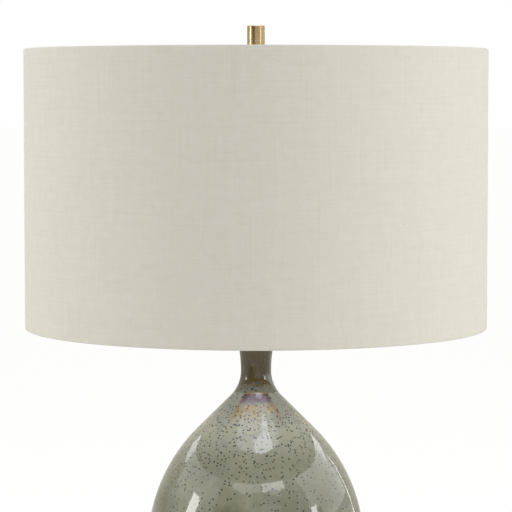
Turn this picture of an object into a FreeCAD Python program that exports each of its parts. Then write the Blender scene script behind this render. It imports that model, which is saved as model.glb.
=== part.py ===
import FreeCAD, Part
import math
import os

# A ceramic table lamp: a drop-shaped glazed body, a socket with a turn switch,
# a wire harp and a linen drum shade.
# Millimetres. The origin is the middle of the underside, on the table. +Z is up, and the front faces -Y.

V = FreeCAD.Vector
ORIGIN = V(0, 0, 0)
UP = V(0, 0, 1)
RIGHT = V(1, 0, 0)
BACK = V(0, 1, 0)
FRONT = V(0, -1, 0)

# Clearances
seat_gap = 0.05          # between pieces that sit on or in each other
running_gap = 0.3        # between pieces that move past each other
bearing_gap = 0.08       # radial play of a shaft that turns in a hole

# Felt and ceramic body
felt_thickness = 2.0
felt_inset = 3.0         # the felt stays this far inside the foot's edge
foot_radius = 66.0
foot_round = 2.0         # rounding of the foot's lower edge
foot_wall = 8.0          # thickness of the foot ring
foot_height = 22.93      # where the foot's upright side ends
cove_radius = 6.0        # hollow between foot and belly
recess_depth = 17.0      # hollow under the foot, where the nut sits
floor_thickness = 7.0
wall_thickness = 6.0
belly_radius = 109.0
belly_height = 139.0     # of the widest place, above the table
shoulder_angle = 45.2    # of the straight shoulder's outward normal, above the horizontal
waist_radius = 15.16     # thinnest place of the neck
waist_height = 318.5
neck_lower_arc = 35.2    # radius of the hollow curve below the waist
neck_upper_arc = 137.4   # radius of the flare above the waist
neck_rise = 33.5         # from the waist to the lip
lip_round = 2.0

# Rod and its fastenings
rod_radius = 5.0
rod_bore = 3.5
rod_hole_gap = 0.5       # around the rod where it passes through the ceramic floor
rod_end = 2.2            # the rod shows this much below the nut
washer_radius = 20.0
base_gasket_thickness = 1.0
base_washer_thickness = 1.6
lock_washer_radius = 8.5
lock_washer_thickness = 1.2
nut_across_flats = 14.3
base_nut_thickness = 5.0
top_nut_thickness = 3.5

# Cord outlet in the foot
outlet_bore = 4.0
bushing_wall = 1.4
bushing_flange_radius = 7.2
bushing_flange_thickness = 2.0
bushing_barb = 0.8       # the barb behind the ring stands this much proud
bushing_barb_length = 1.5
spot_face_depth = 0.5    # flat cut in the foot for the bushing's flange

# Neck fittings
neck_gasket_thickness = 1.0
neck_cap_thickness = 1.2
neck_cap_skirt = 4.0     # the cap reaches this far below the lip
neck_cap_play = 0.6
spacer_radius = 8.0
spacer_play = 0.2        # around the rod
spacer_height = 23.8

# Harp saddle and harp
saddle_thickness = 1.5
saddle_disc_radius = 11.0
saddle_arm_width = 6.0
saddle_reach = 28.0      # outer face of the upturned ends
saddle_bend = 2.0        # inner radius of the bends
saddle_tab_height = 17.0 # of the upturned ends, above the strip
harp_wire_radius = 1.6
harp_tab_width = 5.0     # the wire's flattened ends
harp_tab_lift = 4.0      # the flattened ends start this far above the strip
harp_tab_length = 14.0
harp_straight = 12.0     # straight wire above the flattened end, which the ferrule slides on
harp_spread_rise = 37.0  # height in which the wire swings outward
harp_half_width = 57.0
harp_bend = 42.0         # radius of the two upper corners
harp_rise = 234.0        # from the strip to the crown
crown_width = 7.0
crown_eye_radius = 7.0
ferrule_wall = 0.7
ferrule_height = 10.0

# Socket
socket_cap_radius = 19.5
socket_cap_wall = 0.8
socket_hub_radius = 8.0
socket_hub_height = 5.0
rod_in_socket = 9.0      # the rod reaches this far into the cap
socket_cap_height = 26.0
shell_wall = 0.4
shell_overlap = 9.0      # the shell stands this deep inside the cap
shell_rise = 33.0        # the shell's height above the cap
shell_curl = 1.0         # rolled rim
shell_notch_gap = 1.6    # around the switch shaft, in the brass shell
sleeve_notch_gap = 0.6   # around the switch shaft, in the paper sleeve
insulator_wall = 1.0
insulator_inset = 1.5    # the sleeve ends this far below the shell's rim
interior_gap = 0.4
interior_height = 20.0
interior_drop = 7.0      # the block's underside, below the cap's rim
terminal_flat_depth = 2.5 # of the two flats for the terminal screws
terminal_head_radius = 3.0
terminal_head_thickness = 2.0
terminal_length = 6.0
terminal_screw_radius = 1.6
terminal_slot = 0.6
set_screw_radius = 1.6
set_screw_stand = 0.8    # the screw's head stands this far off the hub
set_screw_head_radius = 2.2
set_screw_head_thickness = 2.2
set_screw_angle = 45.0

# Bulb thread, shared by the screw shell and the bulb's cap
thread_pitch = 3.63      # seven turns to the inch
thread_depth = 0.5
thread_turns = 4
thread_lead = 1.2        # straight wall before the first ring
screw_shell_inner = 12.85
screw_shell_wall = 0.4
contact_radius = 3.6
contact_button_radius = 1.8
contact_height = 1.8
contact_hole_radius = 5.0

# Bulb
bulb_play = 0.1          # radial, in the thread
bulb_cap_wall = 0.3
bulb_cap_lip = 1.5       # the cap's floor reaches this far inward
bulb_cap_length = 19.5
bulb_insulator_height = 3.7
bulb_tip_radius = 3.2
bulb_tip_height = 1.8
bulb_radius = 30.0
bulb_length = 106.0      # from the tip contact to the top of the glass
bulb_neck_arc = 45.0
glass_wall = 0.8
glass_in_cap = 4.0       # the glass neck stands this deep in the cap

# Switch
switch_height = 13.0     # of the shaft's axis, above the socket block's underside
switch_shaft_radius = 2.4
switch_shaft_inner = 8.0 # from the lamp's axis to the shaft's inner end
knob_radius = 5.5
knob_length = 13.0
knob_round = 1.0
knob_collar = 2.0        # plain length before the flutes
knob_flutes = 12
knob_flute_radius = 0.9

# Swivel stud, spider, finial
stud_shank_radius = 2.5
stud_head_radius = 4.5
stud_head_thickness = 1.7
stud_seat_radius = 8.0
stud_seat_height = 3.7
stud_thread_radius = 3.125
stud_thread_length = 8.8
stud_pitch = 25.4 / 27.0
stud_thread_depth = 0.45
hub_radius = 16.0
hub_thickness = 1.6
hub_play = 0.175         # around the stud
spider_wire_radius = 1.75
spider_end_gap = 2.2     # the arms start this far outside the stud's seat
spider_arm_count = 3
spider_first_arm = 90.0
spider_bend = 6.0
spider_drop = 13.8       # from the hub's top up to the shade's top edge
arm_sink = 1.15          # the arms lie this deep in the hub's grooves
finial_washer_radius = 8.0
finial_washer_thickness = 1.0
finial_radius = 8.75
finial_height = 35.7
finial_chamfer = 0.5
finial_bore_depth = 12.0

# Shade
shade_radius = 228.5
shade_height = 275.0
fabric_thickness = 0.6
liner_thickness = 0.5
ring_wire_radius = 1.9
hem_width = 8.0
hem_round = 1.6

# Heights that follow, from the table up
foot_low = felt_thickness
recess_top = foot_low + recess_depth
inner_floor = recess_top + floor_thickness
lip_height = waist_height + neck_rise
neck_cap_low = lip_height + neck_gasket_thickness
spacer_low = neck_cap_low + neck_cap_thickness
top_nut_low = spacer_low + spacer_height
saddle_low = top_nut_low + top_nut_thickness
saddle_top = saddle_low + saddle_thickness
socket_cap_top = saddle_top + socket_cap_height
interior_low = socket_cap_top - interior_drop
interior_top = interior_low + interior_height
shell_top = socket_cap_top + shell_rise
contact_top = interior_top + contact_height
bulb_low = contact_top + running_gap
crown_height = saddle_top + harp_rise
crown_top = crown_height + harp_wire_radius / 2
stud_seat_low = crown_top + 2 * seat_gap
hub_low = stud_seat_low + stud_seat_height
hub_top = hub_low + hub_thickness
shade_top = hub_top + spider_drop
shade_bottom = shade_top - shade_height
washer_low = hub_top + seat_gap
finial_low = washer_low + finial_washer_thickness + seat_gap
base_washer_top = recess_top - base_gasket_thickness
lock_washer_top = base_washer_top - base_washer_thickness
base_nut_top = lock_washer_top - lock_washer_thickness
rod_low = base_nut_top - base_nut_thickness - rod_end
rod_top = saddle_top + rod_in_socket


def outline(points, y=0.0):
    """A wire through (x, z) points in an upright plane.
    A point marked "via" is the middle of an arc between its two neighbours."""
    corners = [V(point[0], y, point[1]) for point in points]
    edges = []
    for i in range(len(points) - 1):
        if len(points[i]) == 3:
            continue
        if len(points[i + 1]) == 3:
            edges.append(Part.Arc(corners[i], corners[i + 1], corners[i + 2]).toShape())
        else:
            edges.append(Part.makeLine(corners[i], corners[i + 1]))
    return Part.Wire(edges)


def turned(points):
    """A solid turned about the Z axis from a closed outline of (radius, height) points."""
    return Part.Face(outline(points + points[:1])).revolve(ORIGIN, UP, 360)


def extruded(points, width):
    """A closed outline of (x, z) points as a plate of this width, centred on y = 0."""
    return Part.Face(outline(points + points[:1], -width / 2)).extrude(V(0, width, 0))


def tube(inner, outer, low, high):
    return turned([(inner, low), (outer, low), (outer, high), (inner, high)])


def disc(radius, low, high):
    return Part.makeCylinder(radius, high - low, V(0, 0, low), UP)


def block(x_low, x_high, y_half, z_low, z_high):
    return Part.makeBox(x_high - x_low, 2 * y_half, z_high - z_low, V(x_low, -y_half, z_low))


def on_circle(centre, radius, degrees):
    """A point of a circle drawn in the outline's plane, as (radius, height)."""
    angle = math.radians(degrees)
    return (centre[0] + radius * math.cos(angle), centre[1] + radius * math.sin(angle))


def arc_points(centre, radius, start, end):
    """The middle and the end of an arc, ready for an outline."""
    middle = on_circle(centre, radius, (start + end) / 2)
    return [(middle[0], middle[1], "via"), on_circle(centre, radius, end)]


def rounded(corner, radius, turn_r, turn_z):
    """The middle of a rounded corner's arc.
    turn_r and turn_z are 1 or -1, and point from the corner into the body."""
    cut = radius * (1 - math.sqrt(0.5))
    return (corner[0] + turn_r * cut, corner[1] + turn_z * cut, "via")


def around(shape, count, first=0.0):
    """Copies of a shape spaced evenly about the Z axis."""
    copies = []
    for i in range(count):
        copy = shape.copy()
        copy.rotate(ORIGIN, UP, first + 360.0 * i / count)
        copies.append(copy)
    return copies


def mirrored(shape):
    return shape.mirror(ORIGIN, RIGHT)


def joined(shapes):
    whole = shapes[0].fuse(shapes[1:])
    return whole.removeSplitter()


def swept(wire, radius):
    """A round wire along a path of lines and tangent arcs."""
    start = wire.Edges[0].firstVertex().Point
    direction = wire.Edges[0].tangentAt(wire.Edges[0].FirstParameter)
    section = Part.Wire(Part.makeCircle(radius, start, direction))
    return wire.makePipeShell([section], True, True)


def hex_nut(across_flats, bore, low, high):
    """A hexagon nut with both faces turned down at the corners."""
    corner = across_flats / math.sqrt(3)
    turned_down = (corner - across_flats / 2) * math.tan(math.radians(30))
    corners = [V(*on_circle((0, 0), corner, 60 * i), low) for i in range(7)]
    prism = Part.Face(Part.makePolygon(corners)).extrude(V(0, 0, high - low))
    blank = turned([
        (bore, low),
        (across_flats / 2, low),
        (corner, low + turned_down),
        (corner, high - turned_down),
        (across_flats / 2, high),
        (bore, high),
    ])
    return prism.common(blank)


def write(node, shape):
    shape.exportStep("parts/" + node + ".step")


# Curves of the ceramic body, shared by its outside and inside
normal_r = math.cos(math.radians(shoulder_angle))
normal_z = math.sin(math.radians(shoulder_angle))
waist_centre = (waist_radius + neck_lower_arc, waist_height)
upper_arc = (
    normal_r * (waist_centre[0] - belly_radius)
    + normal_z * (waist_height - belly_height)
    - neck_lower_arc
) / (1 - normal_r)       # the upper belly meets the straight shoulder smoothly
upper_centre = (belly_radius - upper_arc, belly_height)
cove_centre = (foot_radius + cove_radius, foot_height)
cove_inset = belly_radius - cove_centre[0]
cove_fall = belly_height - foot_height
lower_arc = (
    cove_inset ** 2 + cove_fall ** 2 - cove_radius ** 2
) / (2 * (cove_inset + cove_radius))     # the lower belly meets the cove smoothly
lower_centre = (belly_radius - lower_arc, belly_height)
cove_angle = math.degrees(math.asin(cove_fall / (lower_arc + cove_radius)))
recess_radius = foot_radius - foot_wall
neck_bore = waist_radius - wall_thickness
lip_angle = math.degrees(math.asin(neck_rise / neck_upper_arc))
lip_radius = waist_radius + neck_upper_arc * (1 - math.cos(math.radians(lip_angle)))
outlet_height = (foot_low + foot_height) / 2
outlet_hole = outlet_bore + bushing_wall
flange_seat = foot_radius - spot_face_depth


def ceramic_outline():
    waist_out = (waist_radius + neck_upper_arc, waist_height)
    lip_edge_angle = math.degrees(math.asin((neck_rise - lip_round) / neck_upper_arc))
    outside = [
        (recess_radius, foot_low),
        (foot_radius - foot_round, foot_low),
        rounded((foot_radius, foot_low), foot_round, -1, 1),
        (foot_radius, foot_low + foot_round),
        (foot_radius, foot_height),
    ]
    outside += arc_points(cove_centre, cove_radius, 180, 180 - cove_angle)
    outside += arc_points(lower_centre, lower_arc, -cove_angle, 0)
    outside += arc_points(upper_centre, upper_arc, 0, shoulder_angle)
    outside.append(on_circle(waist_centre, neck_lower_arc, 180 + shoulder_angle))
    outside += arc_points(waist_centre, neck_lower_arc, 180 + shoulder_angle, 180)
    outside += arc_points(waist_out, neck_upper_arc, 180, 180 - lip_edge_angle)
    lip_edge = outside[-1][0]
    outside.append(rounded((lip_edge, lip_height), lip_round, -1, -1))
    outside.append((lip_edge - lip_round, lip_height))
    inner_upper = upper_arc - wall_thickness
    inner_lower = lower_arc - wall_thickness
    floor_angle = math.degrees(math.asin((inner_floor - belly_height) / inner_lower))
    inner_waist = neck_lower_arc + wall_thickness
    inside = [(neck_bore, lip_height), (neck_bore, waist_height)]
    inside += arc_points(waist_centre, inner_waist, 180, 180 + shoulder_angle)
    inside.append(on_circle(upper_centre, inner_upper, shoulder_angle))
    inside += arc_points(upper_centre, inner_upper, shoulder_angle, 0)
    inside += arc_points(lower_centre, inner_lower, 0, floor_angle)
    hole = rod_radius + rod_hole_gap
    inside += [(hole, inner_floor), (hole, recess_top), (recess_radius, recess_top)]
    return outside + inside


def make_body():
    body = turned(ceramic_outline())
    through = V(0, recess_radius / 2, outlet_height)
    hole = Part.makeCylinder(outlet_hole + seat_gap, foot_radius, through, BACK)
    seat = V(0, flange_seat, outlet_height)
    spot_face = Part.makeCylinder(bushing_flange_radius + running_gap, foot_radius, seat, BACK)
    write("ceramic_body", body.cut(hole).cut(spot_face))
    write("felt_pad", disc(foot_radius - felt_inset, 0, felt_thickness))


def make_bushing():
    """Turned about Z with its outer face up, then laid over to point backwards."""
    barb_start = math.sqrt(recess_radius ** 2 - (outlet_hole + bushing_barb) ** 2) - seat_gap
    inner_end = barb_start - bushing_barb_length
    outer_end = flange_seat + bushing_flange_thickness
    bushing = turned([
        (outlet_bore, inner_end),
        (outlet_hole, inner_end),
        (outlet_hole + bushing_barb, barb_start),
        (outlet_hole, barb_start),
        (outlet_hole, flange_seat),
        (bushing_flange_radius, flange_seat),
        (bushing_flange_radius, outer_end - bushing_flange_thickness / 2),
        (bushing_flange_radius - bushing_flange_thickness / 2, outer_end),
        (outlet_bore, outer_end),
    ])
    bushing.rotate(ORIGIN, RIGHT, -90)
    bushing.translate(V(0, 0, outlet_height))
    write("cord_bushing", bushing)


def make_base_fastenings():
    write("base_gasket", tube(rod_radius + rod_hole_gap, washer_radius, base_washer_top, recess_top))
    write("base_washer", tube(rod_radius + seat_gap, washer_radius, lock_washer_top, base_washer_top))
    spring = tube(rod_radius + seat_gap, lock_washer_radius, base_nut_top, lock_washer_top)
    half_slit = lock_washer_thickness / 2
    slit = block(rod_radius, lock_washer_radius + 1, half_slit, base_nut_top, lock_washer_top)
    write("base_lock_washer", spring.cut(slit))
    nut_low = base_nut_top - base_nut_thickness
    write("base_nut", hex_nut(nut_across_flats, rod_radius, nut_low, base_nut_top))
    write("threaded_rod", tube(rod_bore, rod_radius, rod_low, rod_top))


def make_neck_fittings():
    gasket_radius = lip_radius - lip_round
    write("neck_gasket", tube(neck_bore, gasket_radius, lip_height, neck_cap_low))
    skirt_inner = lip_radius + neck_cap_play
    skirt_outer = skirt_inner + neck_cap_thickness
    write("neck_cap", turned([
        (rod_radius + seat_gap, neck_cap_low),
        (skirt_inner, neck_cap_low),
        (skirt_inner, lip_height - neck_cap_skirt),
        (skirt_outer, lip_height - neck_cap_skirt),
        (skirt_outer, neck_cap_low),
        rounded((skirt_outer, spacer_low), neck_cap_thickness, -1, -1),
        (skirt_inner, spacer_low),
        (rod_radius + seat_gap, spacer_low),
    ]))
    write("neck_spacer", tube(rod_radius + spacer_play, spacer_radius, spacer_low, top_nut_low))
    write("top_nut", hex_nut(nut_across_flats, rod_radius, top_nut_low, saddle_low))


def saddle_side():
    """One arm of the saddle: a flat strip that bends up at its end."""
    inner_face = saddle_reach - saddle_thickness
    outer_bend = saddle_bend + saddle_thickness
    bend_centre = (inner_face - saddle_bend, saddle_top + saddle_bend)
    points = [(0, saddle_low), (bend_centre[0], saddle_low)]
    points += arc_points(bend_centre, outer_bend, -90, 0)
    tab_top = saddle_top + saddle_tab_height
    points += [(saddle_reach, tab_top), (inner_face, tab_top), (inner_face, bend_centre[1])]
    points += arc_points(bend_centre, saddle_bend, 0, -90)
    points += [(0, saddle_top)]
    return extruded(points, saddle_arm_width)


def make_saddle():
    arm = saddle_side()
    plate = disc(saddle_disc_radius, saddle_low, saddle_top)
    saddle = joined([plate, arm, mirrored(arm)])
    write("harp_saddle", saddle.cut(disc(rod_radius + seat_gap, saddle_low - 1, saddle_top + 1)))


harp_leg = saddle_reach + seat_gap + harp_wire_radius
harp_tab_low = saddle_top + harp_tab_lift
harp_tab_high = harp_tab_low + harp_tab_length


def harp_half():
    """The right half of the harp's wire, from its flattened end up to the crown."""
    spread = harp_half_width - harp_leg
    turn = 2 * math.degrees(math.atan(spread / harp_spread_rise))
    bend = harp_spread_rise / (2 * math.sin(math.radians(turn)))
    straight_end = harp_tab_high + harp_straight
    spread_end = straight_end + harp_spread_rise
    corner_low = crown_height - harp_bend
    corner_end = harp_half_width - harp_bend
    first = (harp_leg + bend, straight_end)
    second = (harp_half_width - bend, spread_end)
    third = (corner_end, corner_low)
    route = [(harp_leg, harp_tab_high - 1), (harp_leg, straight_end)]
    route += arc_points(first, bend, 180, 180 - turn)
    route += arc_points(second, bend, -turn, 0)
    route += [(harp_half_width, corner_low)]
    route += arc_points(third, harp_bend, 0, 90)
    wire = swept(outline(route), harp_wire_radius)
    tab_inner = saddle_reach + seat_gap
    tab_outer = tab_inner + harp_wire_radius
    tab = block(tab_inner, tab_outer, harp_tab_width / 2, harp_tab_low, harp_tab_high)
    return [wire, tab]


def make_harp():
    half = harp_half()
    crown_end = harp_half_width - harp_bend + 1
    crown_low = crown_top - harp_wire_radius
    crown = block(-crown_end, crown_end, crown_width / 2, crown_low, crown_top)
    eye = disc(crown_eye_radius, crown_low, crown_top)
    pieces = half + [mirrored(piece) for piece in half] + [crown, eye]
    hole = disc(stud_shank_radius + bearing_gap, crown_low - 1, crown_top + 1)
    write("harp", joined(pieces).cut(hole))


def make_ferrules():
    """Sleeves around the saddle's upturned end and the harp's flattened end."""
    inner_low = saddle_reach - saddle_thickness - running_gap
    inner_high = harp_leg + harp_wire_radius + running_gap
    inner_half = saddle_arm_width / 2 + running_gap
    low = saddle_top + saddle_bend + running_gap
    high = low + ferrule_height
    outer_half = inner_half + ferrule_wall
    outer = block(inner_low - ferrule_wall, inner_high + ferrule_wall, outer_half, low, high)
    upright = [edge for edge in outer.Edges if abs(edge.tangentAt(edge.FirstParameter).z) > 0.9]
    sleeve = outer.makeFillet(2 * ferrule_wall, upright)
    sleeve = sleeve.cut(block(inner_low, inner_high, inner_half, low, high))
    write("ferrule_right", sleeve)
    write("ferrule_left", mirrored(sleeve))


cap_inner = socket_cap_radius - socket_cap_wall
shell_outer = cap_inner - seat_gap
shell_inner = shell_outer - shell_wall
sleeve_outer = shell_inner - seat_gap
sleeve_inner = sleeve_outer - insulator_wall
interior_radius = sleeve_inner - interior_gap
terminal_flat = interior_radius - terminal_flat_depth
switch_level = interior_low + switch_height


def switch_hole(gap, reach_low, reach_high):
    """The space for the switch shaft, between two distances in front of the lamp's axis."""
    start = V(0, -reach_low, switch_level)
    return Part.makeCylinder(switch_shaft_radius + gap, reach_high - reach_low, start, FRONT)


def make_socket_cap():
    hub_end = saddle_top + socket_hub_height
    dome = socket_cap_radius - socket_hub_radius
    dome_centre = (socket_hub_radius, hub_end + dome)
    points = [(rod_radius, saddle_top), (socket_hub_radius, saddle_top), (socket_hub_radius, hub_end)]
    points += arc_points(dome_centre, dome, -90, 0)
    points += [(socket_cap_radius, socket_cap_top), (cap_inner, socket_cap_top)]
    points += [(cap_inner, dome_centre[1])]
    points += arc_points(dome_centre, dome - socket_cap_wall, 0, -90)
    points += [(socket_hub_radius, rod_top), (rod_radius, rod_top)]
    level = saddle_top + socket_hub_height / 2
    shank_length = socket_hub_radius - rod_radius + set_screw_stand
    shank = Part.makeCylinder(set_screw_radius, shank_length, V(rod_radius, 0, level), RIGHT)
    head_seat = V(rod_radius + shank_length, 0, level)
    head = Part.makeCylinder(set_screw_head_radius, set_screw_head_thickness, head_seat, RIGHT)
    screw = joined([shank, head])
    screw.rotate(ORIGIN, UP, set_screw_angle)
    write("socket_cap", turned(points).cut(screw))
    write("socket_set_screw", screw)


def make_socket_shell():
    shell_low = socket_cap_top - shell_overlap
    shell = turned([
        (shell_inner, shell_low),
        (shell_outer, shell_low),
        (shell_outer, shell_top - shell_curl),
        rounded((shell_outer, shell_top), shell_curl, -1, -1),
        (shell_outer - shell_curl, shell_top),
        (sleeve_inner, shell_top),
        (sleeve_inner, shell_top - shell_wall),
        (shell_inner, shell_top - shell_curl),
    ])
    write("socket_shell", shell.cut(switch_hole(shell_notch_gap, sleeve_inner, socket_cap_radius)))
    sleeve = tube(sleeve_inner, sleeve_outer, shell_low, shell_top - insulator_inset)
    write("socket_insulator", sleeve.cut(switch_hole(sleeve_notch_gap, terminal_flat, shell_inner)))


def make_socket_interior():
    body = disc(interior_radius, interior_low, interior_top)
    flat = block(terminal_flat, interior_radius + 1, interior_radius, interior_low, interior_top)
    level = (interior_low + interior_top) / 2
    shank_start = V(terminal_flat - terminal_length, 0, level)
    shank = Part.makeCylinder(terminal_screw_radius, terminal_length, shank_start, RIGHT)
    head_seat = V(terminal_flat, 0, level)
    head = Part.makeCylinder(terminal_head_radius, terminal_head_thickness, head_seat, RIGHT)
    slot_floor = terminal_flat + terminal_head_thickness / 2
    half_slot = terminal_slot / 2
    slot = block(slot_floor, interior_radius, interior_radius, level - half_slot, level + half_slot)
    shaft_hole = switch_hole(running_gap, switch_shaft_inner - running_gap, interior_radius + 1)
    write("socket_interior", body.cut([flat, mirrored(flat), shaft_hole, shank, mirrored(shank)]))
    screw = joined([shank, head]).cut(slot)
    write("terminal_screw_live", screw)
    write("terminal_screw_neutral", mirrored(screw))
    leaf_low = interior_top + seat_gap
    write("centre_contact", turned([
        (0, leaf_low),
        (contact_radius, leaf_low),
        (contact_radius, leaf_low + contact_height / 3),
        (contact_button_radius, contact_top),
        (0, contact_top),
    ]))


def threaded_side(radius, low, high, first_ring):
    """One side of a thin rolled thread: straight at both ends, with a rounded ring for each turn."""
    side = [(radius, low)]
    for i in range(thread_turns):
        start = first_ring + i * thread_pitch
        side.append((radius, start))
        side.append((radius + thread_depth, start + thread_pitch / 2, "via"))
    side.append((radius, first_ring + thread_turns * thread_pitch))
    side.append((radius, high))
    return side


def threaded_cup(opening, inner, wall, low, high, first_ring):
    """A cup of rolled thread, with a round opening in its floor."""
    outside = threaded_side(inner + wall, low, high, first_ring)
    inside = threaded_side(inner, low + wall, high, first_ring)
    return turned([(opening, low)] + outside + inside[::-1] + [(opening, low + wall)])


def make_screw_shell():
    low = interior_top + seat_gap
    first_ring = low + thread_lead
    high = first_ring + thread_turns * thread_pitch + thread_lead
    write("screw_shell", threaded_cup(
        contact_hole_radius, screw_shell_inner, screw_shell_wall, low, high, first_ring))


def make_bulb():
    tip_top = bulb_low + bulb_tip_height
    write("bulb_tip_contact", turned([
        (0, bulb_low),
        (bulb_tip_radius * 0.7, bulb_low + bulb_tip_height * 0.25, "via"),
        (bulb_tip_radius, bulb_low + bulb_tip_height * 0.7),
        (bulb_tip_radius, tip_top),
        (0, tip_top),
    ]))
    cap_low = tip_top + bulb_insulator_height
    cap_crest = screw_shell_inner - bulb_play
    cap_root = cap_crest - thread_depth
    cap_inside = cap_root - bulb_cap_wall
    opening = cap_inside - bulb_cap_lip
    write("bulb_base_insulator", turned([
        (0, tip_top + seat_gap),
        (bulb_tip_radius + 1, tip_top + seat_gap),
        (opening - seat_gap, cap_low - bulb_cap_wall),
        (opening - seat_gap, cap_low + 2 * bulb_cap_wall),
        (0, cap_low + 2 * bulb_cap_wall),
    ]))
    cap_top = cap_low + bulb_cap_length
    write("bulb_screw_cap", threaded_cup(
        opening, cap_inside, bulb_cap_wall, cap_low, cap_top, cap_low + thread_lead))

    neck = cap_inside - seat_gap
    centre = (0, bulb_low + bulb_length - bulb_radius)
    side = neck + bulb_neck_arc
    fall = math.sqrt((bulb_radius + bulb_neck_arc) ** 2 - side ** 2)
    arc_centre = (side, centre[1] - fall)
    meet = math.degrees(math.atan2(fall, side))
    outer = [(neck, cap_top - glass_in_cap), (neck, arc_centre[1])]
    outer += arc_points(arc_centre, bulb_neck_arc, 180, 180 - meet)
    outer += arc_points(centre, bulb_radius, -meet, 90)
    inner = [(0, centre[1] + bulb_radius - glass_wall)]
    inner += arc_points(centre, bulb_radius - glass_wall, 90, -meet)
    inner += arc_points(arc_centre, bulb_neck_arc + glass_wall, 180 - meet, 180)
    inner += [(neck - glass_wall, cap_top - glass_in_cap)]
    write("bulb_glass", turned(outer + inner))


def make_switch():
    knob_start = socket_cap_radius + 2 * running_gap
    knob_end = knob_start + knob_length
    shaft_end = knob_start + knob_length / 2
    shaft = switch_hole(0, switch_shaft_inner, shaft_end)
    write("switch_shaft", shaft)
    knob = turned([
        (0, knob_start),
        (knob_radius, knob_start),
        (knob_radius, knob_end - knob_round),
        rounded((knob_radius, knob_end), knob_round, -1, -1),
        (knob_radius - knob_round, knob_end),
        (0, knob_end),
    ])
    flute_foot = V(knob_radius + knob_flute_radius / 3, 0, knob_start + knob_collar)
    flute = Part.makeCylinder(knob_flute_radius, knob_length, flute_foot, UP)
    knob = knob.cut(around(flute, knob_flutes))
    knob.rotate(ORIGIN, RIGHT, 90)
    knob.translate(V(0, 0, switch_level))
    write("switch_knob", knob.cut(shaft))


def make_stud():
    """Rivet head, shank, seat and thread of the swivel stud, from the bottom up."""
    head_top = crown_top - harp_wire_radius - running_gap
    core = stud_thread_radius - stud_thread_depth
    points = [
        (0, head_top - stud_head_thickness),
        (stud_head_radius * 0.8, head_top - stud_head_thickness * 0.75, "via"),
        (stud_head_radius, head_top),
        (stud_shank_radius, head_top),
        (stud_shank_radius, stud_seat_low),
        (stud_seat_radius, stud_seat_low),
        (stud_seat_radius, hub_low),
        (stud_thread_radius, hub_low),
        (stud_thread_radius, hub_top),
    ]
    ridges = int(stud_thread_length / stud_pitch)
    for i in range(ridges):
        points.append((core, hub_top + (i + 0.5) * stud_pitch))
        points.append((stud_thread_radius, hub_top + (i + 1) * stud_pitch))
    top = hub_top + ridges * stud_pitch + stud_thread_depth
    points += [(core, top), (0, top)]
    write("swivel_stud", turned(points))


shell_face = shade_radius - fabric_thickness
liner_inner = shell_face - liner_thickness
ring_radius = liner_inner - ring_wire_radius - seat_gap
ring_top_height = shade_top - fabric_thickness - seat_gap - ring_wire_radius
ring_bottom_height = shade_bottom + fabric_thickness + seat_gap + ring_wire_radius
arm_level = hub_low + arm_sink - spider_wire_radius


def spider_arm():
    """One wire of the spider: level out from the hub, then up to the top ring."""
    bend_centre = (ring_radius - spider_bend, arm_level + spider_bend)
    inner_end = stud_seat_radius + spider_end_gap
    route = [(inner_end, arm_level), (bend_centre[0], arm_level)]
    route += arc_points(bend_centre, spider_bend, -90, 0)
    route += [(ring_radius, ring_top_height)]
    return swept(outline(route), spider_wire_radius)


def make_spider():
    ring = Part.makeTorus(ring_radius, ring_wire_radius, V(0, 0, ring_top_height), UP)
    arms = around(spider_arm().cut(ring), spider_arm_count, spider_first_arm)
    write("spider_arms", Part.makeCompound(arms))
    hub = tube(stud_thread_radius + hub_play, hub_radius, hub_low, hub_top)
    write("spider_hub", hub.cut(arms))
    write("shade_top_ring", ring)
    ring.translate(V(0, 0, ring_bottom_height - ring_top_height))
    write("shade_bottom_ring", ring)


def make_shade():
    liner_low = shade_bottom + fabric_thickness + seat_gap
    liner_high = shade_top - fabric_thickness - seat_gap
    write("shade_liner", tube(liner_inner, shell_face, liner_low, liner_high))
    hem_outer = ring_radius - ring_wire_radius - seat_gap
    hem_inner = hem_outer - fabric_thickness
    upper = [
        (shade_radius, shade_top - hem_round),
        rounded((shade_radius, shade_top), hem_round, -1, -1),
        (shade_radius - hem_round, shade_top),
        (hem_inner + hem_round, shade_top),
        rounded((hem_inner, shade_top), hem_round, 1, -1),
        (hem_inner, shade_top - hem_round),
        (hem_inner, shade_top - hem_width),
        (hem_outer, shade_top - hem_width),
        (hem_outer, shade_top - fabric_thickness),
        (shell_face, shade_top - fabric_thickness),
    ]
    middle = shade_top + shade_bottom
    lower = [(point[0], middle - point[1]) + point[2:] for point in upper[::-1]]
    write("shade_fabric", turned(upper + lower))


def make_finial():
    bore = stud_thread_radius + bearing_gap
    washer_top = washer_low + finial_washer_thickness
    write("finial_washer", tube(bore, finial_washer_radius, washer_low, washer_top))
    top = finial_low + finial_height
    write("finial", turned([
        (bore, finial_low),
        (finial_radius - finial_chamfer, finial_low),
        (finial_radius, finial_low + finial_chamfer),
        (finial_radius, top - finial_chamfer),
        (finial_radius - finial_chamfer, top),
        (0, top),
        (0, finial_low + finial_bore_depth),
        (bore, finial_low + finial_bore_depth),
    ]))


os.makedirs("parts", exist_ok=True)
make_body()
make_bushing()
make_base_fastenings()
make_neck_fittings()
make_saddle()
make_harp()
make_ferrules()
make_socket_cap()
make_socket_shell()
make_socket_interior()
make_screw_shell()
make_bulb()
make_switch()
make_stud()
make_spider()
make_shade()
make_finial()
print("cord outlet at height", round(outlet_height, 3))
print("belly arcs", round(upper_arc, 2), "above and", round(lower_arc, 2), "below")
print("shade from", shade_bottom, "to", shade_top, "finial top", finial_low + finial_height)
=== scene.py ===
import math

import bmesh
import bpy
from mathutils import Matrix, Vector, noise


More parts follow.
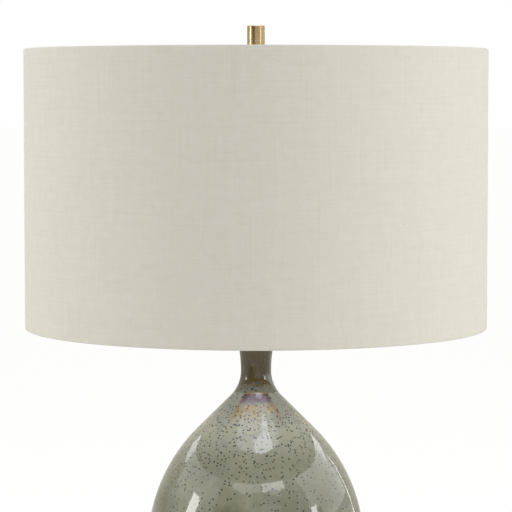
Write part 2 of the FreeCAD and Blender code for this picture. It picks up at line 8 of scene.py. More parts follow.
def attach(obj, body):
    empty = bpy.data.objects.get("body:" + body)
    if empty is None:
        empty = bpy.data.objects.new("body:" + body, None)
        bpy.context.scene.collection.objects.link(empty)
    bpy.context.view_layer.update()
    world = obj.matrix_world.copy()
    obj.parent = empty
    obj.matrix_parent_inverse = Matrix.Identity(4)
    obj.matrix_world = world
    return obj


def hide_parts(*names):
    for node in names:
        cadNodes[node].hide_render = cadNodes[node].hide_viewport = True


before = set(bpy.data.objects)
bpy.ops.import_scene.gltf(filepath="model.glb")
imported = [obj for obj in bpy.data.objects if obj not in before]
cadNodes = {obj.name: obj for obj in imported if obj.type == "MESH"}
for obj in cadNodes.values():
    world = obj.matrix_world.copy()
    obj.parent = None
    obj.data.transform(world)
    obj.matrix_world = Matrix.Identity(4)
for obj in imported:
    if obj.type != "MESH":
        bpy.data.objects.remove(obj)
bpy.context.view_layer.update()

mm = 0.001


def toLinear(hexColour):
    # sRGB hex to the linear values that the shaders want
    parts = [int(hexColour[i:i + 2], 16) / 255 for i in (1, 3, 5)]
    return [c / 12.92 if c <= 0.04045 else ((c + 0.055) / 1.055) ** 2.4 for c in parts] + [1.0]


def addNode(tree, kind, feeds=(), out=0, **settings):
    # feeds are values, hex colours or other nodes' sockets, in order or by input name or number
    made = tree.nodes.new("ShaderNode" + kind)
    for key, value in settings.items():
        setattr(made, key, value)
    for key, value in feeds.items() if isinstance(feeds, dict) else enumerate(feeds):
        if isinstance(value, bpy.types.NodeSocket):
            tree.links.new(value, made.inputs[key])
        else:
            made.inputs[key].default_value = toLinear(value) if isinstance(value, str) else value
    return made.outputs[out] if made.outputs else made


def newFinish(name, colour, roughness, **sockets):
    # a material with its Principled shader; uniform values go on the shader's own sockets
    material = bpy.data.materials.new(name)
    material.use_nodes = True
    tree = material.node_tree
    shader = next(n for n in tree.nodes if n.type == "BSDF_PRINCIPLED")
    shader.inputs["Base Color"].default_value = toLinear(colour)
    shader.inputs["Roughness"].default_value = roughness
    for key, value in sockets.items():
        shader.inputs[key.replace("_", " ")].default_value = value
    return material, tree, shader.inputs, addNode(tree, "TexCoord", out="Object")


camera = {
    "place": (0.0, -2.400, 0.594),
    "downTilt": 3.852,  # degrees
    "lens": 170.46,  # mm
    "sensor": 36.0,  # mm
    "clip": (0.1, 100),
}
studio = {
    "white": "#ffffff",
    "ambient": 0.64,  # how strongly the white surroundings light the lamp
    "floorPaper": "#f4f3f0",
    "floorGlow": 1.12,
    "floorGlowShare": 0.75,  # the rest is paper, which keeps the shadow
    "floorSide": 40.0,
    # from and to, in degrees round from the camera, and the grey
    "cards": {
        "cardFront": (-50, -14, "#9a9a92"),
        "cardLeft": (-119, -141, "#d9d5c9"),
        "cardLeftBack": (-141, -171, "#d9d5c9"),
        "cardRight": (136, 171, "#d9d5c9"),
    },
    "cardDistance": 1.7,
    "cardLow": 0.002,
    "cardHeight": 1.6,
    "cardSteps": 10,
}
# soft lamps: place, what they face, width and height, watts
lamps = {
    "lampLeft": ((-1.11, -0.16, 0.62), (0, 0, 0.62), (0.6, 0.9), 2.7),
    "lampRight": ((1.02, -0.46, 0.62), (0, 0, 0.62), (0.6, 0.9), 3.0),
    "lampTop": ((0.1, -0.4, 2.1), (0, 0, 0.3), (1.2, 1.2), 5.0),
}
# what gloss sees of the studio: place, what it faces, width and height, brightness, colour
panels = {
    "panelLeft": ((-1.089, -0.261, 0.59), (0, 0, 0.59), (0.22, 0.26), 9.5, "#ffffff"),
    "panelRight": ((1.038, -0.420, 0.52), (0, 0, 0.52), (0.17, 0.20), 9.5, "#ffffff"),
    "farLeft": ((-5.87, -1.25, 0.76), (0, 0, 0.64), (1.5, 0.14), 7.0, "#ffffff"),
    "farRight": ((5.20, -3.00, 0.76), (0, 0, 0.64), (1.5, 0.14), 7.0, "#ffffff"),
    "sideLeft": ((-1.40, 0.12, 1.15), (0, 0, 0.25), (1.7, 0.9), 1.5, "#ffffff"),
    "sideRight": ((1.40, 0.12, 1.15), (0, 0, 0.25), (1.7, 0.9), 2.4, "#ffffff"),
    "lowRight": ((0.62, 0.12, 0.40), (0, 0, 0.40), (0.58, 0.20), 2.2, "#ffffff"),
    "panelTop": ((0.10, -0.45, 2.0), (0, 0, 0.3), (1.5, 1.7), 2.8, "#f3f2f6"),
    "panelTopFront": ((0.25, -0.50, 1.80), (0, 0, 0.3), (0.60, 0.52), 6.2, "#eef2ff"),
    "panelFront": ((0.03, -1.38, 1.70), (0, 0, 0.25), (1.9, 0.66), 2.2, "#ffffff"),
    "panelFrontRight": ((0.53, -1.20, 1.62), (0, 0, 0.25), (0.80, 0.56), 5.0, "#ffffff"),
    "backLeft": ((-1.132, 0.984, 0.97), (0, 0, 0.25), (0.42, 0.24), 3.0, "#ffffff"),
    "backRight": ((1.132, 0.984, 1.00), (0, 0, 0.25), (0.46, 0.30), 3.4, "#ffffff"),
    "edgeRight": ((1.17, 1.17, 0.40), (0, 0, 0.40), (0.05, 0.80), 5.0, "#ffffff"),
}


def makeCamera():
    data = bpy.data.cameras.new("photoCamera")
    data.lens = camera["lens"]
    data.sensor_width = camera["sensor"]
    data.clip_start, data.clip_end = camera["clip"]
    seen = bpy.data.objects.new("photoCamera", data)
    seen.location = camera["place"]
    seen.rotation_euler = (math.radians(90 - camera["downTilt"]), 0, 0)
    bpy.context.scene.collection.objects.link(seen)
    bpy.context.scene.camera = seen


def placed(name, data, place, towards):
    item = bpy.data.objects.new(name, data)
    item.location = place
    item.rotation_euler = (Vector(towards) - Vector(place)).to_track_quat("-Z", "Y").to_euler()
    bpy.context.scene.collection.objects.link(item)
    return item


def glowingMesh(name, points, faces, colour, strength):
    mesh = bpy.data.meshes.new(name)
    mesh.from_pydata(points, [], faces)
    material = bpy.data.materials.new(name)
    material.use_nodes = True
    tree = material.node_tree
    tree.nodes.clear()
    addNode(tree, "OutputMaterial", (addNode(tree, "Emission", (colour, strength)),))
    material.cycles.emission_sampling = "NONE"
    mesh.materials.append(material)
    return mesh


def showToGlossOnly(item):
    # reflections show it, but the camera doesn't see it and it lights and shadows nothing
    item.visible_camera = item.visible_diffuse = item.visible_transmission = item.visible_shadow = False


def seenByEye(tree):
    # 1 for camera, mirror and glass rays, so that the ground reads white to the eye and in reflections
    eye, mirror, glass = [addNode(tree, "LightPath", out="Is " + kind + " Ray")
                          for kind in ("Camera", "Glossy", "Transmission")]
    either = addNode(tree, "Math", (eye, mirror), operation="MAXIMUM")
    return addNode(tree, "Math", (either, glass), operation="MAXIMUM")


def makeSurroundings():
    world = bpy.data.worlds.new("whiteStudio")
    bpy.context.scene.world = world
    world.use_nodes = True
    tree = world.node_tree
    ground = next(n for n in tree.nodes if n.type == "BACKGROUND")
    ground.inputs["Color"].default_value = toLinear(studio["white"])
    dim = studio["ambient"]
    strength = addNode(tree, "Math", (seenByEye(tree), 1 - dim, dim), operation="MULTIPLY_ADD")
    tree.links.new(strength, ground.inputs["Strength"])

    side = studio["floorSide"]
    mesh = bpy.data.meshes.new("studioFloor")
    mesh.from_pydata([(-side, -side, 0), (side, -side, 0), (side, side, 0), (-side, side, 0)], [], [(0, 1, 2, 3)])
    floor = bpy.data.objects.new("studioFloor", mesh)
    bpy.context.scene.collection.objects.link(floor)
    material = bpy.data.materials.new("paleFloor")
    material.use_nodes = True
    tree = material.node_tree
    tree.nodes.clear()
    paper = addNode(tree, "BsdfDiffuse", (studio["floorPaper"],))
    glow = addNode(tree, "Emission", (studio["white"], studio["floorGlow"]))
    amount = addNode(tree, "Math", (seenByEye(tree), studio["floorGlowShare"]), operation="MULTIPLY")
    addNode(tree, "OutputMaterial", (addNode(tree, "MixShader", (amount, paper, glow)),))
    mesh.materials.append(material)


def makeStudio():
    makeSurroundings()
    for name, (place, towards, size, power) in lamps.items():
        data = bpy.data.lights.new(name, "AREA")
        data.shape = "RECTANGLE"
        data.size, data.size_y = size
        data.energy = power
        lamp = placed(name, data, place, towards)
        lamp.visible_camera = lamp.visible_glossy = False
    for name, (place, towards, (w, h), strength, colour) in panels.items():
        corners = [(-w / 2, -h / 2, 0), (w / 2, -h / 2, 0), (w / 2, h / 2, 0), (-w / 2, h / 2, 0)]
        mesh = glowingMesh(name, corners, [(0, 1, 2, 3)], colour, strength)
        showToGlossOnly(placed(name, mesh, place, towards))
    # grey cards round the lamp: they give glaze and brass a duller band in front and inside each outline
    steps = studio["cardSteps"]
    for name, (start, end, grey) in studio["cards"].items():
        points, faces = [], []
        for i in range(steps + 1):
            a = math.radians(start + (end - start) * i / steps)
            x, y = studio["cardDistance"] * math.sin(a), -studio["cardDistance"] * math.cos(a)
            points += [(x, y, studio["cardLow"]), (x, y, studio["cardHeight"])]
            if i:
                faces.append((2 * i - 2, 2 * i, 2 * i + 1, 2 * i - 1))
        card = bpy.data.objects.new(name, glowingMesh(name, points, faces, grey, 1.0))
        bpy.context.scene.collection.objects.link(card)
        showToGlossOnly(card)
    print("camera, floor and light made")


glaze = {
    "neck": "#554b13", "neckDark": "#393009", "neckLight": "#72684c",
    "lowNeck": "#757a6c",
    # belly and shoulder are the ground glaze darkened low down and lightened on top: painted shade and painted light
    # from above
    "belly": "#75765d", "ground": "#8c8d79", "shoulder": "#b8b8a6",
    "cream": "#aeac96", "blueGrey": "#969d98",
    "tan": "#b29b6c", "rust": "#a87a56", "flank": "#9a9d92",
    "mauveTop": "#3c160c", "mauve": "#5e434b", "mauveEnd": "#7b7b84", "streak": "#8d899a",
    "speck": "#2e342b",
    "speckSpacing": 3.5,  # mm
    "speckRadius": 1.0,  # mm
    "speckPit": 0.12,  # share of waveHeight
    "clay": "#b7a58a",
    "clayTop": 4.2,  # mm; the foot is wiped bare below this
    "clayRoughness": 0.85,
    "roughness": 0.05,
    "IOR": 1.56,
    "runReach": 17.0,  # mm that the runs move the ends of the zones
    "patches": 3.0,  # mauve patches round the shoulder, one of them at the front
    "mauveLine": 297.55,  # mm; where the mauve starts
    "waveHeight": 0.09,  # mm
}


def glazedStoneware():
    # reactive glaze on stoneware: glassy, runs below the neck, iron specks that break through, bare clay at the foot;
    # lighter on the shoulder and darker low on the belly, which is painted light and painted shade
    material, tree, shader, place = newFinish("glazedStoneware", glaze["ground"], glaze["roughness"],
                                              IOR=glaze["IOR"])
    x, y, z = [addNode(tree, "SeparateXYZ", (place,), out=axis) for axis in "XYZ"]
    noises = []
    for scale, detail, roughness in (  # how many to a metre, round and upwards
            ((760, 760, 30), 3.0, 0.65),  # runs 1.3 mm wide and 33 mm long
            ((1300, 1300, 45), 2.0, 0.55),  # hair-fine runs 0.8 mm wide and 22 mm long
            ((330, 330, 42), 2.0, 0.55),  # wide runs, 3 mm by 24 mm
            ((26, 26, 18), 3.0, 0.55),  # clouds of 38 to 56 mm
            ((95, 95, 60), 2.0, 0.55),  # patches of 10 to 17 mm
            ((130, 130, 95), 1.0, 0.4)):  # slow waves 8 to 11 mm apart
        spot = addNode(tree, "VectorMath", (place, scale), operation="MULTIPLY")
        feeds = {"Vector": spot, "Scale": 1.0, "Detail": detail, "Roughness": roughness}
        noises.append(addNode(tree, "TexNoise", feeds))
    runs, fineRuns, wideRuns, clouds, patches, waves = noises
    # where the zones end goes up and down by some millimetres, with the runs
    offRuns = addNode(tree, "Math", (runs, -0.5), operation="ADD")
    wander = addNode(tree, "Math", (offRuns, glaze["runReach"] * mm, z), operation="MULTIPLY_ADD")
    # mauve in broad patches round the shoulder: patchEdge is about 1 in a patch's middle and -1 between two
    forward = addNode(tree, "Math", (y, -1.0), operation="MULTIPLY")
    angle = addNode(tree, "Math", (x, forward), operation="ARCTAN2")
    turn = addNode(tree, "Math", (angle, glaze["patches"]), operation="MULTIPLY")
    around = addNode(tree, "Math", (turn,), operation="COSINE")
    patchEdge = addNode(tree, "Math", (offRuns, 0.6, around), operation="MULTIPLY_ADD")
    offs = []
    for value, middle in ((z, glaze["mauveLine"] * mm), (patchEdge, -0.10), (wideRuns, 0.5)):  # how far from a line
        off = addNode(tree, "Math", (value, middle), operation="SUBTRACT")
        offs.append(addNode(tree, "Math", (off,), operation="ABSOLUTE"))
    offLine, offEdge, offVein = offs
    # specks: round, 1 to 2 mm, crowded on the shoulder and few on the neck and low on the belly
    spacing = 1 / (glaze["speckSpacing"] * mm)
    size = glaze["speckRadius"] * mm * spacing
    cells = {"Vector": place, "Scale": spacing, "Randomness": 1.0}
    far = addNode(tree, "TexVoronoi", cells, out="Distance")
    chance = addNode(tree, "SeparateColor", (addNode(tree, "TexVoronoi", cells, out="Color"),))

    bareLine = glaze["clayTop"] * mm
    parts = {}
    for key, value, low, high, start, end in (
            # the next two masks paint light by height: painted shade low on the belly, painted light on the shoulder
            ("paintedShadeBellyEnd", z, 0.185, 0.235, 0.0, 1.0),
            ("paintedLightShoulder", z, 0.230, 0.270, 0.0, 1.0),
            ("cloudy", clouds, 0.42, 0.66, 0.0, 0.40),
            ("patchy", patches, 0.47, 0.68, 0.0, 0.55),
            ("upper", z, 0.22, 0.27, 0.35, 1.0),
            ("tanRise", wander, 0.273, 0.284, 0.0, 1.0),
            ("tanPatches", patches, 0.62, 0.40, 0.45, 1.0),
            ("tanMiddle", patchEdge, -0.5, 0.1, 0.15, 1.0),
            ("inPatch", patchEdge, -0.22, 0.06, 0.0, 1.0),
            ("outside", patchEdge, -0.22, 0.06, 0.85, 0.0),
            ("flankRise", wander, 0.268, 0.288, 0.0, 1.0),
            ("edgeLine", offEdge, 0.02, 0.24, 0.5, 0.0),
            ("edgeRise", z, 0.269, 0.280, 0.0, 1.0),
            ("mauveRise", wander, 0.2865, 0.2900, 0.0, 1.0),
            ("mauveMiddle", z, 0.288, 0.2935, 0.0, 1.0),
            ("mauveHigh", z, 0.2935, 0.2968, 0.0, 1.0),
            ("streaks", fineRuns, 0.5, 0.68, 0.0, 0.7),
            ("thinLine", offLine, 0.0002, 0.0009, 0.85, 0.0),
            ("neckRise", z, 0.2974, 0.2984, 0.0, 1.0),
            ("belowNeck", z, 0.2974, 0.2984, 1.0, 0.0),
            ("neckRuns", runs, 0.36, 0.66, 0.0, 1.0),
            ("neckFine", fineRuns, 0.54, 0.74, 0.0, 0.6),
            ("neckFoot", wander, 0.3010, 0.3100, 1.0, 0.0),
            ("veins", offVein, 0.01, 0.05, 0.2, 0.0),
            ("veinsEnd", z, 0.318, 0.306, 0.0, 1.0),
            ("round", far, size * 0.82, size * 1.06, 1.0, 0.0),
            ("crowd", z, 0.175, 0.255, 0.28, 1.0),
            ("fewer", z, 0.300, 0.312, 1.0, 0.10),
            ("bare", wander, bareLine + 0.4 * mm, bareLine, 0.0, 1.0)):
        parts[key] = addNode(tree, "MapRange", (value, low, high, start, end), interpolation_type="SMOOTHSTEP")
    odds = addNode(tree, "Math", (parts["crowd"], parts["fewer"]), operation="MULTIPLY")
    parts["chosen"] = addNode(tree, "Math", (chance, odds), operation="LESS_THAN")
    for key, first, *others in (  # the amounts that are products
            ("blueGrey", "patchy", "upper"),
            ("tan", "tanRise", "tanPatches", "tanMiddle"),
            ("flank", "flankRise", "outside"),
            ("edge", "edgeLine", "edgeRise"),
            ("mauve", "mauveRise", "inPatch", "belowNeck"),
            ("line", "thinLine", "inPatch"),
            ("neckVeins", "veins", "veinsEnd"),
            ("speck", "round", "chosen")):
        parts[key] = parts[first]
        for other in others:
            parts[key] = addNode(tree, "Math", (parts[key], parts[other]), operation="MULTIPLY")
    colours = dict(glaze)
    for name, lowest, *layers in (  # each layer lies over the one before
            ("mauveRuns", "mauveEnd", ("mauveMiddle", "mauve"), ("mauveHigh", "mauveTop"), ("streaks", "streak")),
            ("neckGlaze", "neckDark", ("neckRuns", "neck"), ("neckFine", "neckLight"), ("neckFoot", "lowNeck"),
             ("neckVeins", "rust")),
            # ground over belly and shoulder over ground paint shade low on the body and light on its top
            ("whole", "belly", ("paintedShadeBellyEnd", "ground"), ("paintedLightShoulder", "shoulder"), ("cloudy", "cream"),
             ("blueGrey", "blueGrey"), ("tan", "tan"), ("flank", "flank"), ("edge", "rust"),
             ("neckRise", "neckGlaze"), ("speck", "speck"), ("mauve", "mauveRuns"), ("line", "rust"),
             ("bare", "clay"))):
        colours[name] = colours[lowest]
        for part, over in layers:
            feeds = {0: parts[part], 6: colours[name], 7: colours[over]}
            colours[name] = addNode(tree, "Mix", feeds, 2, data_type="RGBA")
    tree.links.new(colours["whole"], shader["Base Color"])
    dullness = addNode(tree, "MapRange", (parts["bare"], 0.0, 1.0, glaze["roughness"], glaze["clayRoughness"]))
    tree.links.new(dullness, shader["Roughness"])
    # slow waves in the glaze's thickness, and a shallow pit at each speck
    height = addNode(tree, "Math", (parts["speck"], -glaze["speckPit"], waves), operation="MULTIPLY_ADD")
    bump = addNode(tree, "Bump", {"Height": height, "Distance": glaze["waveHeight"] * mm})
    tree.links.new(bump, shader["Normal"])
    return material


linen = {
    "colour": "#e4e0d4", "warm": "#dcd6c7", "light": "#ebe8df", "fleck": "#5d5442",
    "roughness": 0.9, "sheen": 0.15, "sheenRoughness": 0.5, "specularLevel": 0.25,
    "threadsRound": 900.0,  # 1.6 mm each: real ones are about 0.7 mm, too fine for the render
    "threadHeight": 1.6,  # mm
    "flecksPerMetre": 70.0,  # one dark fibre each 14 mm
    "fleckEdge": (0.018, 0.034), "fleckDepth": 0.35,
    "relief": 0.12,  # mm
}


def plainLinen():
    # undyed linen laminated on a stiff sheet: matt, with thick and thin threads and a few dark fibres
    material, tree, shader, place = newFinish(
        "plainLinen", linen["colour"], linen["roughness"], Sheen_Weight=linen["sheen"],
        Sheen_Roughness=linen["sheenRoughness"], Specular_IOR_Level=linen["specularLevel"])
    x, y, z = [addNode(tree, "SeparateXYZ", (place,), out=axis) for axis in "XYZ"]
    angle = addNode(tree, "Math", (y, x), operation="ARCTAN2")
    turn = addNode(tree, "Math", (angle, linen["threadsRound"]), operation="MULTIPLY")
    rise = addNode(tree, "Math", (z, 2 * math.pi / (linen["threadHeight"] * mm)), operation="MULTIPLY")
    waves = [addNode(tree, "Math", (v,), operation="SINE") for v in (turn, rise)]
    weave = addNode(tree, "Math", waves, operation="MULTIPLY")
    threads = []
    for scale in (  # how many to a metre
            (600, 600, 14),  # upright threads 1.7 mm thick that swell each 70 mm
            (14, 14, 600),  # the same, level
            (120, 120, 120)):  # clouds of 8 mm
        spot = addNode(tree, "VectorMath", (place, scale), operation="MULTIPLY")
        threads.append(addNode(tree, "TexNoise", {"Vector": spot, "Scale": 1.0, "Detail": 2.0, "Roughness": 0.6}))
    slubs = addNode(tree, "Math", threads[:2], operation="ADD")  # about 1 on average
    tone = addNode(tree, "Math", (addNode(tree, "Math", (slubs, threads[2]), operation="ADD"), -1.0), operation="ADD")
    tone = addNode(tree, "Math", (weave, 0.05, tone), operation="MULTIPLY_ADD")
    toMiddle = addNode(tree, "MapRange", (tone, -0.5, 0.5))
    toLight = addNode(tree, "MapRange", (tone, 0.5, 1.5))
    cells = {"Vector": place, "Scale": linen["flecksPerMetre"], "Randomness": 1.0}
    far = addNode(tree, "TexVoronoi", cells, out="Distance")
    fleck = addNode(tree, "MapRange", (far, *linen["fleckEdge"], linen["fleckDepth"], 0.0))
    colour = linen["warm"]
    for amount, over in ((toMiddle, "colour"), (toLight, "light"), (fleck, "fleck")):
        colour = addNode(tree, "Mix", {0: amount, 6: colour, 7: linen[over]}, 2, data_type="RGBA")
    tree.links.new(colour, shader["Base Color"])
    height = addNode(tree, "Math", (weave, 0.3, slubs), operation="MULTIPLY_ADD")
    bump = addNode(tree, "Bump", {"Height": height, "Distance": linen["relief"] * mm})
    tree.links.new(bump, shader["Normal"])
    return material


def grained(name, colour, second, roughness, grain, depth, cloud=8.0, **sockets):
    # two close tones in soft clouds and a fine grain; grain and cloud are widths in mm along x, y and z
    material, tree, shader, place = newFinish(name, colour, roughness, **sockets)
    fields = []
    for width in (cloud, grain):
        scale = [1 / (w * mm) for w in (width if isinstance(width, tuple) else (width,) * 3)]
        spot = addNode(tree, "VectorMath", (place, scale), operation="MULTIPLY")
        fields.append(addNode(tree, "TexNoise", {"Vector": spot, "Scale": 1.0, "Detail": 3.0, "Roughness": 0.6}))
    clouds, pits = fields
    tone = addNode(tree, "Math", (pits, 0.5, clouds), operation="MULTIPLY_ADD")
    amount = addNode(tree, "MapRange", (tone, 0.55, 0.95))
    tree.links.new(addNode(tree, "Mix", {0: amount, 6: second, 7: colour}, 2, data_type="RGBA"), shader["Base Color"])
    dullness = addNode(tree, "MapRange", (pits, 0.3, 0.7, roughness * 0.85, roughness * 1.2))
    tree.links.new(dullness, shader["Roughness"])
    tree.links.new(addNode(tree, "Bump", {"Height": pits, "Distance": depth * mm}), shader["Normal"])
    return material


def giveFinishes():
    turned = (25.0, 25.0, 0.25)  # rings round the axis, a quarter of a millimetre apart
    fibres = (1.2, 8.0, 2.0)
    made = {
        "ceramic_glaze": glazedStoneware(),
        "linen": plainLinen(),
        # pressed wool felt: a matt mat of crossing fibres
        "felt": grained("pressedWoolFelt", "#3a342d", "#211d19", 0.95, fibres, 0.4, 3.0,
                        Sheen_Weight=0.4, Sheen_Roughness=0.4),
        # lathe-turned brass with a matt lacquer: warm, with crisp bright lines where it faces the lamps
        "brushed_brass": grained("turnedBrass", "#b49b76", "#9d845f", 0.17, turned, 0.002, 12.0, Metallic=1.0),
        # thin brass plate over bent steel wire: yellower and a bit duller
        "brass_plated_steel": grained("platedSteelWire", "#c9a960", "#a98a48", 0.30, 0.5, 0.01, Metallic=1.0),
        # drawn brass of lampholders: bright, cloudy from handling
        "socket_brass": grained("drawnBrass", "#d8b45c", "#b8934a", 0.26, (3.0, 3.0, 0.6), 0.008, Metallic=1.0),
        # zinc plated steel: cold grey and spangled
        "zinc_steel": grained("zincPlatedSteel", "#c3c5c6", "#9b9d9e", 0.36, 0.5, 0.01, 2.5, Metallic=1.0),
        # nickel plating on the bulb's thin cap: warm grey, with soft mirror lines
        "bulb_cap_metal": grained("nickelPlatedBrass", "#cfccc4", "#aaa79e", 0.28, 0.5, 0.008, Metallic=1.0),
        # tin solder: grey and lumpy
        "solder": grained("tinSolder", "#b9babb", "#8e9092", 0.42, 1.2, 0.06, 3.0, Metallic=1.0),
        # shade rings: steel wire with a white powder coat, orange-peel skin
        "shade_wire": grained("powderCoatedWire", "#e9e8e4", "#dcdad4", 0.5, 0.6, 0.04),
        # rolled styrene sheet: satin white with faint upright rolling marks
        "shade_lining": grained("rolledStyrene", "#f2f0ea", "#e8e5dd", 0.42, (4.0, 4.0, 110.0), 0.05, 30.0, IOR=1.59),
        # moulded black rubber: matt, slightly dusty
        "rubber": grained("mouldedRubber", "#1d1d1d", "#2a2a29", 0.7, 0.4, 0.02, IOR=1.52),
        # moulded nylon: dark brown, half matt
        "bushing_plastic": grained("mouldedNylon", "#2b2622", "#231f1c", 0.45, 0.6, 0.01, IOR=1.53),
        # vulcanised fibre sleeve: grey-brown card with fibres round it
        "insulating_paper": grained("fibreSleeve", "#8d7a5c", "#77664b", 0.8, (2.0, 2.0, 0.5), 0.03),
        # phenolic moulding: near black, polished by the mould
        "phenolic": grained("mouldedPhenolic", "#1c1917", "#26211e", 0.32, 0.8, 0.008, IOR=1.6),
        # bulb glass etched inside: milky, with a clear glossy outer skin
        "frosted_glass": grained("etchedBulbGlass", "#f6f4ee", "#ece9e1", 0.14, 6.0, 0.03, 16.0, IOR=1.52),
        # black glass between the bulb's cap and tip
        "black_glass": grained("fusedBlackGlass", "#0f0f12", "#17171b", 0.12, 1.5, 0.01, IOR=1.52),
    }
    for node in cadNodes.values():
        for spot in node.material_slots:
            spot.material = made[spot.material.name.split(".")[0]]
    print("finishes made", len(made))
    return made


def arc(centre, radius, start, end, steps):
    # points (r, z) on an arc, in mm and degrees, both ends included
    turns = [math.radians(start + (end - start) * i / steps) for i in range(steps + 1)]
    return [(centre[0] + radius * math.cos(a), centre[1] + radius * math.sin(a)) for a in turns]


def line(start, end, steps):
    # points between two others, without either end
    return [tuple(a + (b - a) * i / steps for a, b in zip(start, end)) for i in range(1, steps)]


def evenAngles(count):
    return [2 * math.pi * i / count for i in range(count)]


def revolve(name, outline, angles, nudge=None, closed=True):
    # turns a (radius, height) outline in mm round the axis; nudge gives a point's move outwards in mm
    count, rows = len(angles), len(outline)
    points = []
    for angle in angles:
        for i, (r, z) in enumerate(outline):
            r += nudge(angle, r, z, i) if nudge else 0.0
            points.append((r * mm * math.cos(angle), r * mm * math.sin(angle), z * mm))
    faces = []
    for a in range(count):
        b = (a + 1) % count
        for i in range(rows if closed else rows - 1):
            j = (i + 1) % rows
            faces.append((a * rows + i, b * rows + i, b * rows + j, a * rows + j))
    if not closed:  # the first and last points are near the axis: close each end with one face
        faces.append(tuple(a * rows for a in range(count)))
        faces.append(tuple(a * rows + rows - 1 for a in range(count))[::-1])
    mesh = bpy.data.meshes.new(name)
    mesh.from_pydata(points, [], faces)
    work = bmesh.new()
    work.from_mesh(mesh)
    bmesh.ops.recalc_face_normals(work, faces=work.faces)
    work.to_mesh(mesh)
    work.free()
    piece = bpy.data.objects.new(name, mesh)
    bpy.context.scene.collection.objects.link(piece)
    return piece


def finishPiece(piece, finish, body, node):
    for face in piece.data.polygons:
        face.use_smooth = True
    piece.data.set_sharp_from_angle(angle=math.radians(38))
    piece.data.materials.clear()
    piece.data.materials.append(finish)
    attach(piece, body)
    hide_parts(node)
    print(piece.name, "made")


vase = {
    "footRadius": 66.0, "footLow": 2.0, "footRound": 2.0, "footTop": 22.93, "cove": 6.0, "coveAngle": 40.66,
    "recess": (58.0, 19.0), "floor": 26.0, "rodHole": 5.5,
    "bellyCentre": (-63.15, 139.0), "bellyArc": 172.15, "shoulder": 45.2,
    "neckCentre": (50.36, 318.5), "neckArc": 35.2,
    "flareCentre": (152.56, 318.5), "flareArc": 137.4, "flareAngle": 13.25,
    "lip": 352.0, "lipRound": 2.0, "bore": 9.16, "wall": 6.0,
    "unevenness": 0.16,  # mm, inwards only
    "unevenWidth": (26, 30),  # mm, round and upwards
    "outletHeight": 12.465, "outletHole": 5.45, "outletFace": (7.5, 65.5), "outletReach": (30.0, 80.0),
    "stepsRound": 288, "outletSteps": 64,
}


def makeVase(finish):
    # the glazed body again, with finer steps than the CAD mesh so that reflections run smoothly
    v = vase
    belly, neck, s = v["bellyCentre"], v["neckCentre"], v["shoulder"]
    foot, low, edge = v["footRadius"], v["footLow"], v["footRound"]
    outside = [(v["recess"][0], low), (62.0, low)]
    outside += arc((foot - edge, low + edge), edge, -90, 0, 6)
    outside += line(outside[-1], (foot, v["footTop"]), 8)
    outside += arc((foot + v["cove"], v["footTop"]), v["cove"], 180, 180 - v["coveAngle"], 8)
    outside += arc(belly, v["bellyArc"], -v["coveAngle"], s, 110)[1:]
    outside += line(outside[-1], arc(neck, v["neckArc"], 180 + s, 180, 1)[0], 16)
    outside += arc(neck, v["neckArc"], 180 + s, 180, 44)
    outside += arc(v["flareCentre"], v["flareArc"], 180, 180 - v["flareAngle"], 14)[1:]
    lipEdge = outside[-1][0]
    outside += arc((lipEdge - v["lipRound"], v["lip"] - v["lipRound"]), v["lipRound"], 0, 90, 6)[1:]
    inside = [(v["bore"], v["lip"])]
    inside += line(inside[0], (v["bore"], neck[1]), 6)
    inside += arc(neck, v["neckArc"] + v["wall"], 180, 180 + s, 14)
    floorAngle = math.degrees(math.asin((v["floor"] - belly[1]) / (v["bellyArc"] - v["wall"])))
    inside += arc(belly, v["bellyArc"] - v["wall"], s, floorAngle, 50)
    inside += [(30.0, v["floor"]), (v["rodHole"], v["floor"]), (v["rodHole"], v["recess"][1]), (30.0, v["recess"][1]),
               (v["recess"][0], v["recess"][1])]

    def nudge(angle, r, z, i):
        # the slight unevenness of a slip-cast and hand-wiped wall, none at the lip and foot
        fade = max(0.0, min(1.0, (z - 8) / 20, (344 - z) / 20))
        wide, high = v["unevenWidth"]
        spot = Vector((math.cos(angle) * r / wide, math.sin(angle) * r / wide, z / high))
        return -v["unevenness"] * fade * (0.5 + 0.5 * noise.noise(spot)) if i < len(outside) else 0.0

    piece = revolve("glazedVase", outside + inside, evenAngles(v["stepsRound"]), nudge)
    # the hole and flat for the cord bush, at the back
    hole, (face, flat), (near, past) = v["outletHole"], v["outletFace"], v["outletReach"]
    bore = [(0.01, near), (hole, near), (hole, flat), (face, flat), (face, past), (0.01, past)]
    cutter = revolve("outletCutter", bore, evenAngles(v["outletSteps"]), closed=False)
    for point in cutter.data.vertices:
        x, y, z = point.co
        point.co = (x, z, v["outletHeight"] * mm - y)
    cut = piece.modifiers.new("outlet", "BOOLEAN")
    cut.operation, cut.solver, cut.object = "DIFFERENCE", "EXACT", cutter
    bpy.context.view_layer.update()
    piece.data = bpy.data.meshes.new_from_object(piece.evaluated_get(bpy.context.evaluated_depsgraph_get()))
    piece.modifiers.clear()
    bpy.data.objects.remove(cutter)
    finishPiece(piece, finish, "base", "ceramic_body")


shade = {
    "outer": 228.5, "thick": 0.6, "bottom": 362.0, "top": 637.0,
    "hemInside": 222.9, "hemDepth": 8.0,
    "roll": 1.6,  # how round the folded edge is
    "seamWidth": 12.0, "seamStep": 0.55,  # overlap at the back
    "seamEdge": 0.12,  # degrees over which the lap steps down
    "slack": 0.10,
    "slackWaves": (6, 110),  # waves round, and mm upwards
    "stepsRound": 360,
}


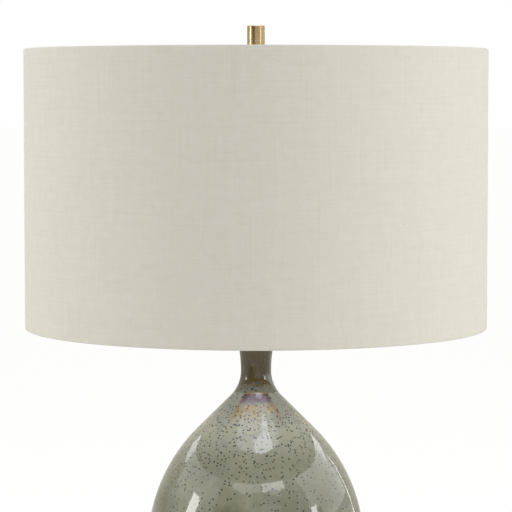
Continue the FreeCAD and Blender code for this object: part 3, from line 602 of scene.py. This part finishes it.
def makeLinenShade(finish):
    outer, top, bottom, inner, roll = (shade[k] for k in ("outer", "top", "bottom", "hemInside", "roll"))
    # the cloth's outer face, from the lower hem's inner edge round to the upper hem's
    face = [(inner, bottom + shade["hemDepth"])]
    face += line(face[0], (inner, bottom + roll), 4)
    face += arc((inner + roll, bottom + roll), roll, 180, 270, 6)
    face += arc((outer - roll, bottom + roll), roll, 270, 360, 6)
    face += line((outer, bottom + roll), (outer, top - roll), 70)
    face += arc((outer - roll, top - roll), roll, 0, 90, 6)
    face += arc((inner + roll, top - roll), roll, 90, 180, 6)
    face += line((inner, top - roll), (inner, top - shade["hemDepth"]), 4) + [(inner, top - shade["hemDepth"])]
    back = []
    for i, (r, z) in enumerate(face):  # the cloth's inner face lies beside it
        (r0, z0), (r1, z1) = face[max(i - 1, 0)], face[min(i + 1, len(face) - 1)]
        size = math.hypot(r1 - r0, z1 - z0) / shade["thick"]
        back.append((r - (z1 - z0) / size, z + (r1 - r0) / size))
    half = shade["seamWidth"] / 2 / outer
    edge = math.radians(shade["seamEdge"])
    angles = evenAngles(shade["stepsRound"])
    angles += [math.pi / 2 + side * half + more for side in (-1, 1) for more in (-edge, 0, edge)]

    def nudge(angle, r, z, i):
        # only the outer face moves: slack of a fraction of a millimetre, and the lap at the back
        if i >= len(face) or r < outer - 0.4:
            return 0.0
        wide, high = shade["slackWaves"]
        spot = Vector((math.cos(angle) * wide, math.sin(angle) * wide, z / high))
        slack = shade["slack"] * (0.5 + 0.5 * noise.noise(spot))
        past = abs(angle - math.pi / 2) - half
        return slack + shade["seamStep"] * max(0.0, min(1.0, 0.5 - past / (2 * edge)))

    piece = revolve("linenShade", face + back[::-1], sorted(set(round(a, 7) for a in angles)), nudge)
    finishPiece(piece, finish, "shade", "shade_fabric")


feltDisc = {
    "radius": 62.9, "thick": 2.0,
    "round": 0.15,  # how much the cut edge is rounded
    "fuzz": 0.25,  # mm, inwards
    "rings": 26, "stepsRound": 240,
}


def makeFelt(finish):
    # a punched disc with a slightly hairy edge
    radius, thick, rings = feltDisc["radius"], feltDisc["thick"], feltDisc["rings"]
    rim = radius - feltDisc["round"]
    flat = [(0.5, 0.0)] + line((0.5, 0.0), (rim, 0.0), rings)
    outline = flat + [(rim, 0.1), (radius, 0.5), (radius, 1.5), (rim, 1.9)]
    outline += [(r, thick) for r, z in flat[::-1]]

    def nudge(angle, r, z, i):
        spot = Vector((math.cos(angle) * 70, math.sin(angle) * 70, z * 0.9))
        return -feltDisc["fuzz"] * (0.5 + 0.5 * noise.noise(spot)) if r > radius - 1 else 0.0

    piece = revolve("feltDisc", outline, evenAngles(feltDisc["stepsRound"]), nudge, closed=False)
    finishPiece(piece, finish, "base", "felt_pad")


makeCamera()
makeStudio()
finishes = giveFinishes()
makeVase(finishes["ceramic_glaze"])
makeLinenShade(finishes["linen"])
makeFelt(finishes["felt"])

bpy.context.scene.view_settings.view_transform = "Standard"
